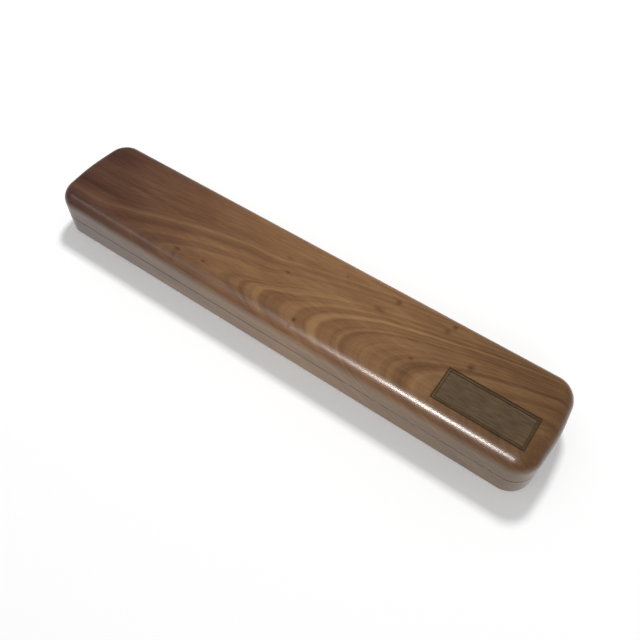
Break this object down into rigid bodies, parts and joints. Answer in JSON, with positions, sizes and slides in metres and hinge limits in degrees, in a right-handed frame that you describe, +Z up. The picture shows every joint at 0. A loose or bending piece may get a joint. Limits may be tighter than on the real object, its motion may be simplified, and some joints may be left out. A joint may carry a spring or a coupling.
{
  "type": "baton case",
  "caption": "Slim hardwood clamshell case with a soft rounded lid on two brass butt hinges, magnets in the front rims, and a fitted cradle for two conducting batons.",
  "frame": {"origin": "middle of the flat underside, on the surface that the case stands on", "axes": "+X along the case, towards the end with the engraved panel; -Y to the front, the side that opens; +Z up"},
  "size_m": [0.444, 0.0887, 0.042],
  "materials": {
    "walnut": "satin clear lacquer on walnut",
    "velvet_foam": "short pile velvet",
    "greyboard": "uncoated",
    "brass": "polished, lightly worn",
    "nickel": "bright nickel plate"
  },
  "bodies": {
    "base": {"base_shell": "walnut", "cradle_board": "greyboard", "base_cradle": "velvet_foam", "left_hinge_base_leaf": "brass", "left_hinge_base_screws": "brass", "left_hinge_pin": "brass", "left_base_magnet": "nickel", "right_hinge_base_leaf": "brass", "right_hinge_base_screws": "brass", "right_hinge_pin": "brass", "right_base_magnet": "nickel"},
    "lid": {"lid_shell": "walnut", "lid_pad_board": "greyboard", "lid_pad": "velvet_foam", "left_hinge_lid_leaf": "brass", "left_hinge_lid_screws": "brass", "left_lid_magnet": "nickel", "right_hinge_lid_leaf": "brass", "right_hinge_lid_screws": "brass", "right_lid_magnet": "nickel"}
  },
  "joints": [
    {"name": "lid_hinge", "type": "hinge", "parent": "base", "child": "lid", "pos_m": [0, 0.0445, 0.0175], "axis": [-1, 0, 0], "range_deg": [0, 156]}
  ]
}
